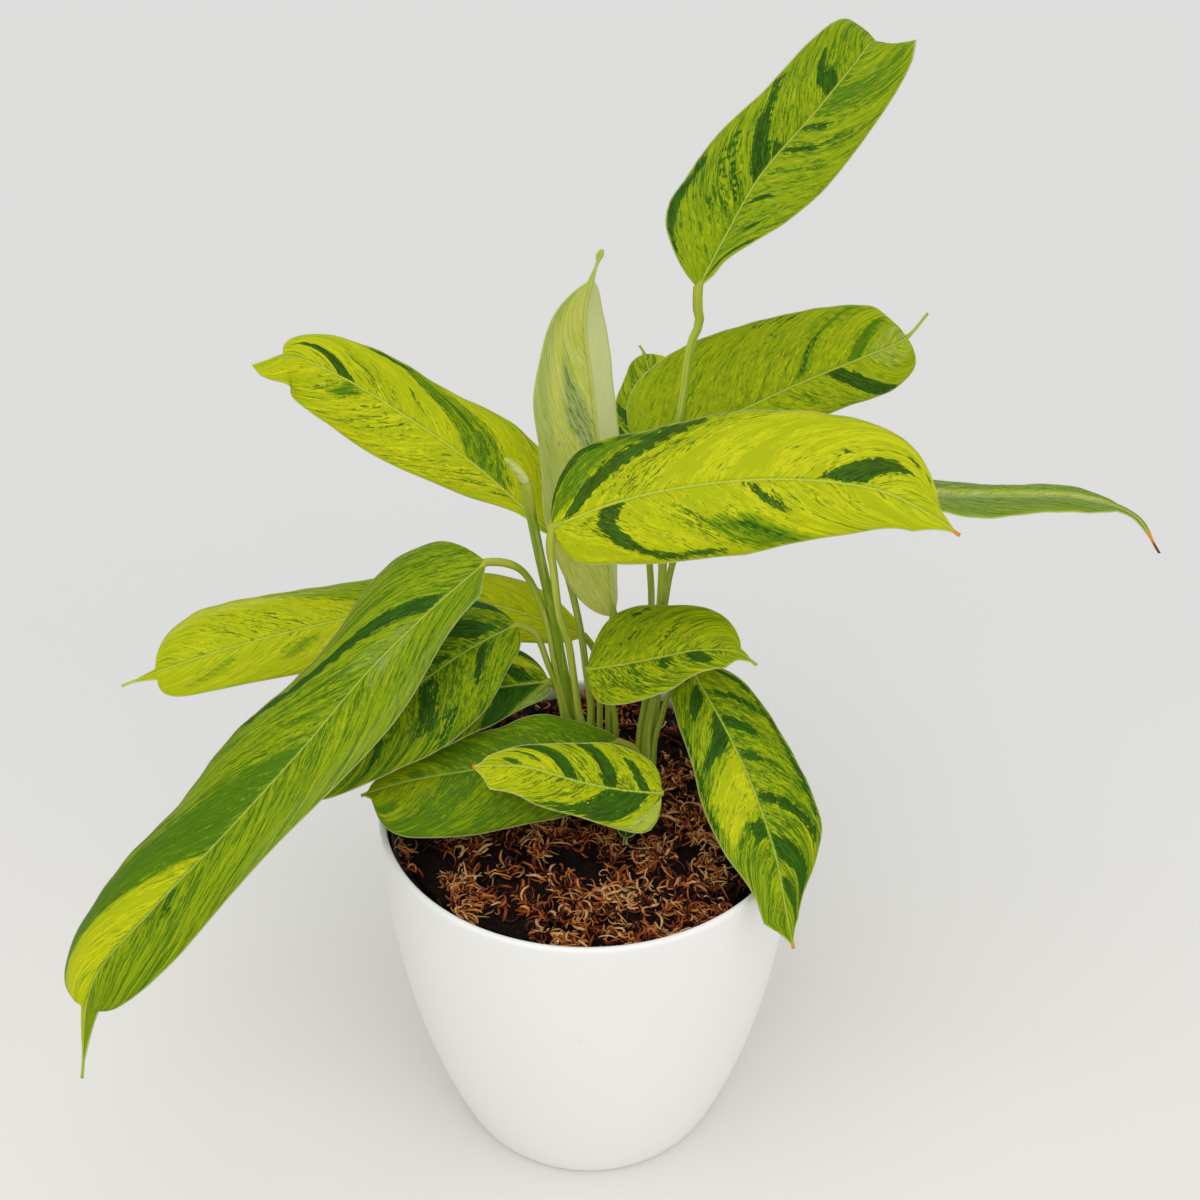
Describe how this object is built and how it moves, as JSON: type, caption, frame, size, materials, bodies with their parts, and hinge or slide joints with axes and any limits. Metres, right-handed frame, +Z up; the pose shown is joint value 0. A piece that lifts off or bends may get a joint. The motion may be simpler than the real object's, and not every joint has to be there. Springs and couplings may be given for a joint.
{
  "type": "potted ctenanthe lubbersiana",
  "caption": "Leafy ctenanthe lubbersiana with slim stalks and blotched lime and green blades, standing upright in moss and soil inside a round white cover pot.",
  "frame": {"origin": "middle of the pot's flat foot, on the surface that the pot stands on", "axes": "+Z up along the pot's axis, -Y towards the viewer of the picture, +X to that viewer's right"},
  "size_m": [0.4443, 0.3069, 0.4594],
  "materials": {
    "white_plastic": "satin",
    "black_plastic": "matte",
    "soil": "matte",
    "moss": "matte",
    "stalk": "satin",
    "leaf_lime": "satin",
    "leaf_dark": "satin",
    "leaf_pale": "satin"
  },
  "bodies": {
    "root": {"pot": "white_plastic", "grow_pot": "black_plastic", "potting_soil": "soil", "moss": "moss", "shoot_left": "stalk", "shoot_middle": "stalk", "shoot_right": "stalk", "leaf_front_left_long": "leaf_lime", "leaf_left": "leaf_lime", "leaf_upper_left": "leaf_lime", "leaf_upright_young": "leaf_pale", "leaf_centre_right": "leaf_lime", "leaf_small_centre": "leaf_lime", "leaf_right_hanging": "leaf_dark", "leaf_small_front": "leaf_lime", "leaf_over_rim": "leaf_lime", "leaf_inner_left": "leaf_dark", "leaf_lower_left": "leaf_dark", "leaf_back_right": "leaf_lime", "leaf_back": "leaf_lime", "leaf_top": "leaf_lime", "leaf_far_right": "leaf_lime", "leaf_under_front": "leaf_dark", "rolled_leaf": "leaf_pale"}
  },
  "joints": []
}
